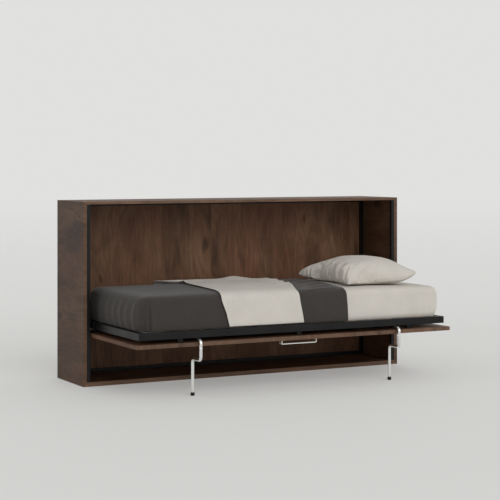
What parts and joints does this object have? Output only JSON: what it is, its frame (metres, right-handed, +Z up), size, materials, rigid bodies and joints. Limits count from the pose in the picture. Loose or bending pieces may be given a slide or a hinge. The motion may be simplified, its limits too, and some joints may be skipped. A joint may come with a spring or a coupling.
{
  "type": "wall bed",
  "caption": "Horizontal wall bed: open wooden case with a steel inner frame, and a made-up single bed on folding tube legs that tilts up into the case behind its door panel.",
  "frame": {"origin": "on the floor, under the middle of the case", "axes": "+X along the case towards the pillow end, +Y towards the wall, +Z up"},
  "size_m": [2.115, 1.088, 1.05],
  "materials": {
    "case_wood": "satin",
    "black_steel": "satin",
    "chrome": "polished",
    "satin_steel": "satin",
    "bush_bronze": "satin",
    "light_wood": "matte",
    "black_plastic": "matte",
    "sheet_fabric": "matte",
    "charcoal_fabric": "matte",
    "throw_fabric": "matte"
  },
  "bodies": {
    "case": {"side_panel_left": "case_wood", "side_panel_right": "case_wood", "top_panel": "case_wood", "bottom_panel": "case_wood", "back_panel": "case_wood", "wall_batten": "light_wood", "post_front_left": "black_steel", "post_front_right": "black_steel", "post_rear_left": "black_steel", "post_rear_right": "black_steel", "rear_rail_bottom": "black_steel", "rear_rail_top": "black_steel", "pivot_rail_left": "black_steel", "pivot_rail_right": "black_steel", "pivot_plate_left": "black_steel", "pivot_plate_right": "black_steel", "strut_bracket_left": "black_steel", "strut_bracket_right": "black_steel", "pivot_pin_left": "satin_steel", "pivot_pin_right": "satin_steel"},
    "bed": {"door_panel": "case_wood", "handle": "satin_steel", "mattress": "sheet_fabric", "coverlet": "charcoal_fabric", "throw": "throw_fabric", "pillow": "sheet_fabric", "bed_rail_front": "black_steel", "bed_rail_rear": "black_steel", "bed_rail_foot": "black_steel", "bed_rail_head": "black_steel", "bed_rail_centre": "black_steel", "pivot_arm_left": "black_steel", "pivot_arm_right": "black_steel", "pivot_bush_left": "bush_bronze", "pivot_bush_right": "bush_bronze", "slat_1": "light_wood", "slat_2": "light_wood", "slat_3": "light_wood", "slat_4": "light_wood", "slat_5": "light_wood", "slat_6": "light_wood", "slat_7": "light_wood", "slat_8": "light_wood", "door_spacer_front_left": "black_plastic", "door_spacer_front_middle": "black_plastic", "door_spacer_front_right": "black_plastic", "door_spacer_rear_left": "black_plastic", "door_spacer_rear_right": "black_plastic", "leg_hook_left": "chrome", "leg_hook_right": "chrome", "leg_pin_left": "satin_steel", "leg_pin_right": "satin_steel"},
    "leg_left": {"leg_lower_left": "chrome", "foot_cap_left": "black_plastic"},
    "strut_body_left": {"strut_cylinder_left": "black_steel"},
    "strut_piston_left": {"strut_rod_left": "chrome"},
    "leg_right": {"leg_lower_right": "chrome", "foot_cap_right": "black_plastic"},
    "strut_body_right": {"strut_cylinder_right": "black_steel"},
    "strut_piston_right": {"strut_rod_right": "chrome"}
  },
  "joints": [
    {"name": "bed_tilt", "type": "hinge", "parent": "case", "child": "bed", "pos_m": [0, -0.169, 0.319], "axis": [-1, 0, 0], "range_deg": [0, 90], "deforming": ["pillow"]},
    {"name": "leg_fold_left", "type": "hinge", "parent": "bed", "child": "leg_left", "pos_m": [-0.638, -0.87, 0.262], "axis": [0, -1, 0], "range_deg": [0, 90]},
    {"name": "strut_swing_left", "type": "hinge", "parent": "case", "child": "strut_body_left", "pos_m": [-1, 0.121, 0.52], "axis": [1, 0, 0], "range_deg": [0, 0.8466]},
    {"name": "strut_slide_left", "type": "slide", "parent": "strut_body_left", "child": "strut_piston_left", "axis": [0, -0.753, -0.658], "range_m": [0, 0.0848]},
    {"name": "leg_fold_right", "type": "hinge", "parent": "bed", "child": "leg_right", "pos_m": [0.638, -0.87, 0.262], "axis": [0, 1, 0], "range_deg": [0, 90]},
    {"name": "strut_swing_right", "type": "hinge", "parent": "case", "child": "strut_body_right", "pos_m": [1, 0.121, 0.52], "axis": [1, 0, 0], "range_deg": [0, 0.8466]},
    {"name": "strut_slide_right", "type": "slide", "parent": "strut_body_right", "child": "strut_piston_right", "axis": [0, -0.753, -0.658], "range_m": [0, 0.0848]}
  ],
  "couplings": [
    {"joint": "strut_swing_left", "follows": "bed_tilt", "ratio": 0.009295},
    {"joint": "strut_slide_left", "follows": "bed_tilt", "m_per_rad": 0.053924},
    {"joint": "strut_swing_right", "follows": "bed_tilt", "ratio": 0.009295},
    {"joint": "strut_slide_right", "follows": "bed_tilt", "m_per_rad": 0.053924}
  ]
}
